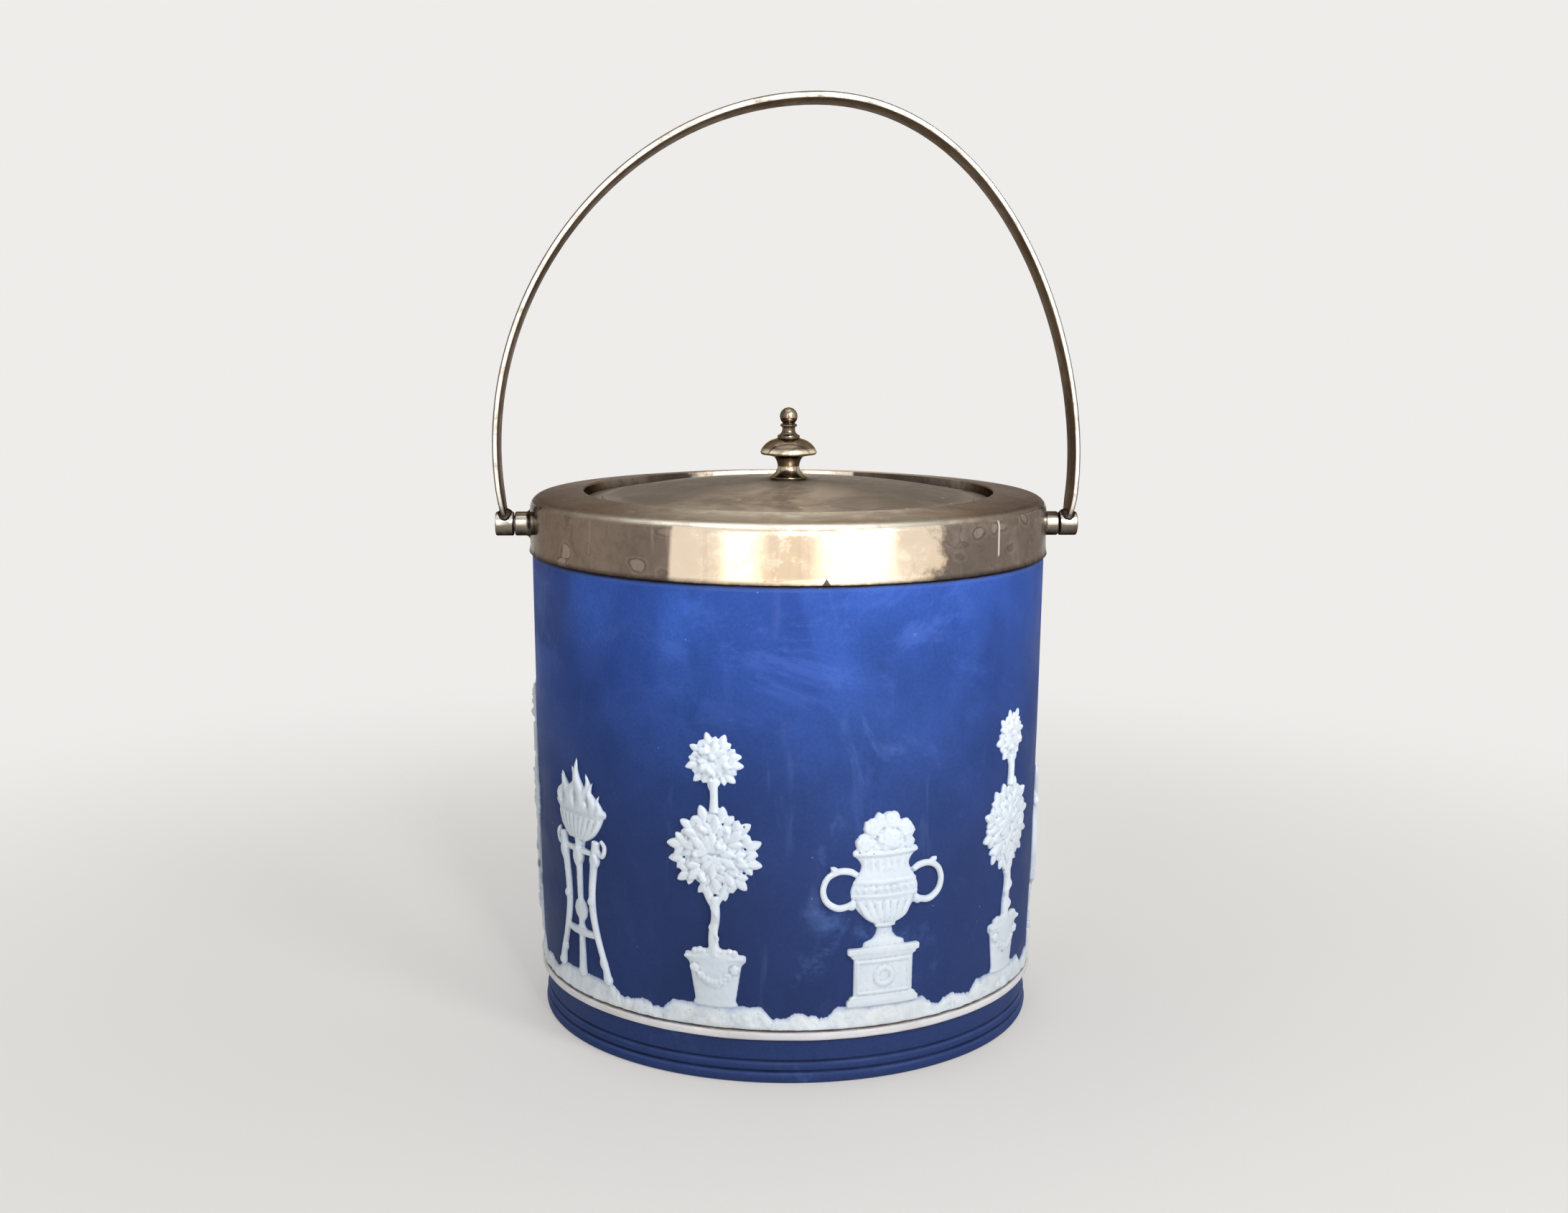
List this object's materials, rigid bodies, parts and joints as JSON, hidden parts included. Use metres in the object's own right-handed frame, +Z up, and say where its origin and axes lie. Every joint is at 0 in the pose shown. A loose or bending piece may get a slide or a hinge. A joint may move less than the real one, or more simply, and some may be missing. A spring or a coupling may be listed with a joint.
{
  "type": "biscuit jar",
  "caption": "Round matte blue stoneware biscuit jar with white applied relief, a plated collar, a swing handle on side pivots and a lift-off domed lid with a turned finial.",
  "frame": {"origin": "centre of the jar's foot ring, on the surface that the jar stands on", "axes": "+Z up along the jar's axis, +X along the handle's pivots, -Y towards the front"},
  "size_m": [0.1557, 0.1374, 0.2429],
  "materials": {
    "jasper": "matte unglazed cobalt blue stoneware",
    "white_relief": "matte unglazed white stoneware",
    "plaster": "dry plaster",
    "tarnished_plate": "old silver plate over brass sheet, tarnished",
    "strap_plate": "old silver plate over brass strip, brown inside and bright along the edges",
    "fittings": "old silver plate over turned brass"
  },
  "bodies": {
    "jar": {"jar_body": "jasper", "ground_ring": "white_relief", "ground_frieze": "white_relief", "relief_urn_1": "white_relief", "relief_tree_1": "white_relief", "relief_lyre": "white_relief", "relief_tree_2": "white_relief", "relief_urn_2": "white_relief", "relief_tree_3": "white_relief", "relief_basket": "white_relief", "relief_tree_4": "white_relief", "relief_tripod": "white_relief", "relief_tree_5": "white_relief", "plaster_bed": "plaster", "collar": "tarnished_plate", "boss_left": "fittings", "boss_right": "fittings", "pivot_pin_left": "fittings", "pivot_pin_right": "fittings"},
    "handle": {"knuckle_left": "fittings", "knuckle_right": "fittings", "handle_strap": "strap_plate"},
    "lid": {"lid_plate": "tarnished_plate", "lid_skirt": "tarnished_plate", "finial": "fittings", "finial_washer": "fittings", "finial_nut": "fittings"}
  },
  "joints": [
    {"name": "handle_swing", "type": "hinge", "parent": "jar", "child": "handle", "pos_m": [0, 0, 0.1302], "axis": [1, 0, 0], "range_deg": [-132, 140]},
    {"name": "lid_lift", "type": "slide", "parent": "jar", "child": "lid", "axis": [0, 0, 1], "range_m": [0, 0.06]}
  ]
}
